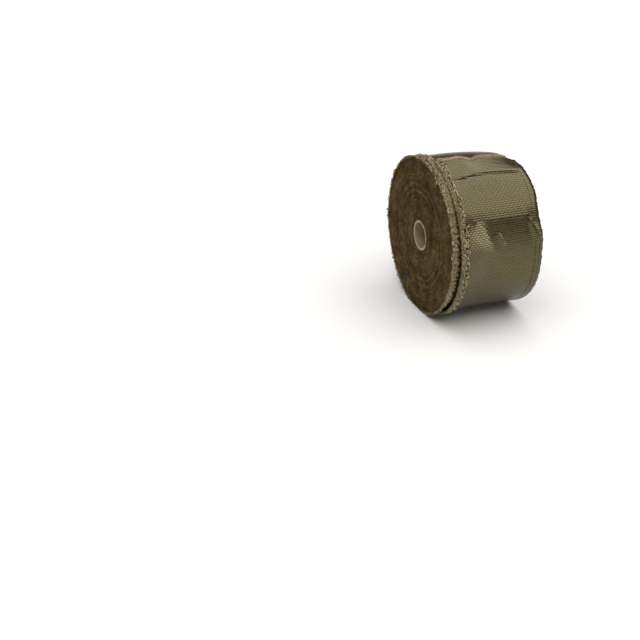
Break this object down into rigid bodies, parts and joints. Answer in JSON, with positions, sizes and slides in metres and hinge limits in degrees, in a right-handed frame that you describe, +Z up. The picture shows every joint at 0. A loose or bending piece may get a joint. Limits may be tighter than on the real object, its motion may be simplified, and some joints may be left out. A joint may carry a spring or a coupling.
{
  "type": "roll of woven basalt tape",
  "caption": "Roll of woven basalt fibre tape wound on a thin paper core, lying on its side, with its last turns slipped sideways. Raw stock for heat wrapping.",
  "frame": {"origin": "on the floor plane, under the middle of the roll's overall length", "axes": "+X along the roll's axis, from the flat wound end towards the end past which the last turns stand out; +Z up"},
  "size_m": [0.1094, 0.1756, 0.1756],
  "materials": {
    "basalt_cloth": "woven basalt fibre, olive brown, silky sheen",
    "pale_board": "pale grey-beige spiral-wound paper tube, matt"
  },
  "bodies": {
    "root": {"tape_roll": "basalt_cloth", "core_tube": "pale_board"}
  },
  "joints": []
}
